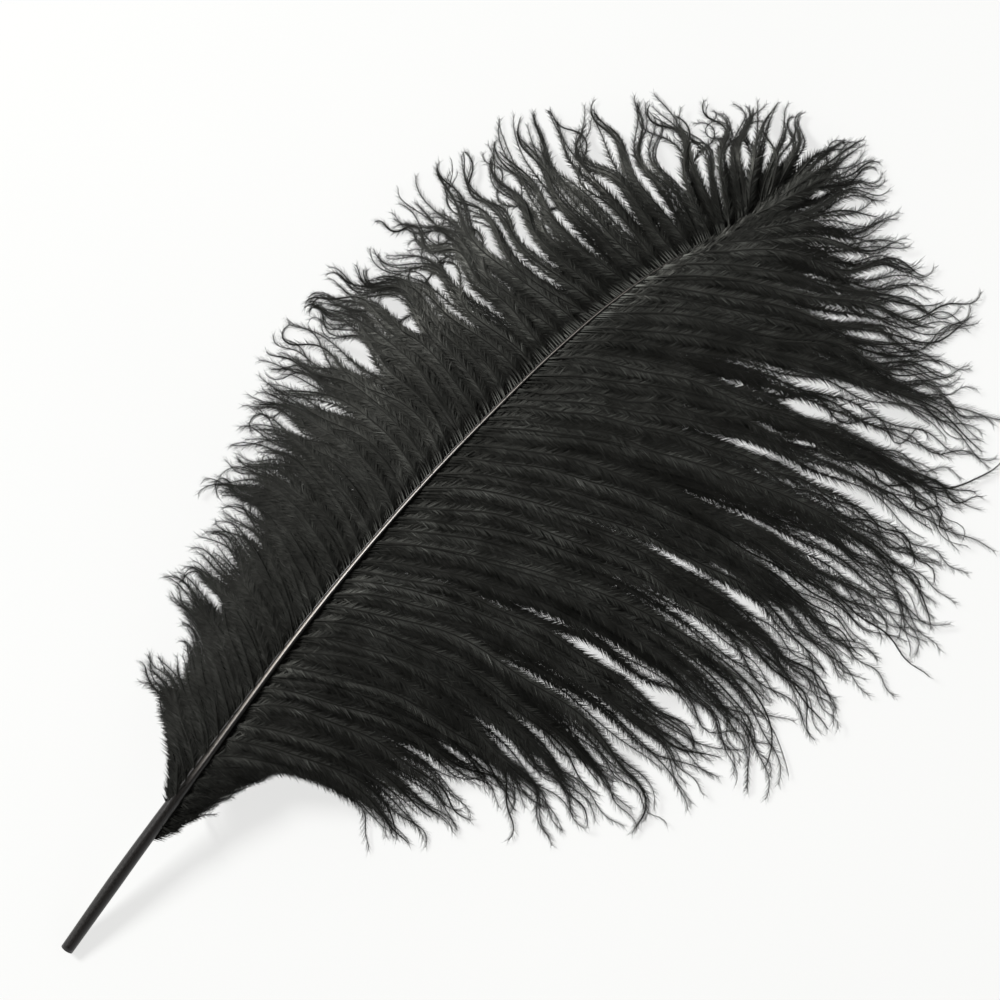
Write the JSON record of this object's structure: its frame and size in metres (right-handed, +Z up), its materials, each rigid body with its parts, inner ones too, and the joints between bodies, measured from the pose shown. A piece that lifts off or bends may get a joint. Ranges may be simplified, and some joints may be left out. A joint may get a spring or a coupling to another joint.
{
  "type": "ostrich feather",
  "caption": "Dyed ostrich plume lying flat: a cut quill that tapers into an arched shaft, with soft drooping vanes of loose locks on both sides.",
  "frame": {"origin": "middle of the feather's footprint, on the surface it lies on", "axes": "+X from the cut quill towards the tip, +Y towards the left vane, +Z up"},
  "size_m": [0.4794, 0.3084, 0.0393],
  "materials": {
    "quill": "satin",
    "barbs": "matte"
  },
  "bodies": {
    "root": {"shaft": "quill", "left_vane": "barbs", "right_vane": "barbs"}
  },
  "joints": []
}
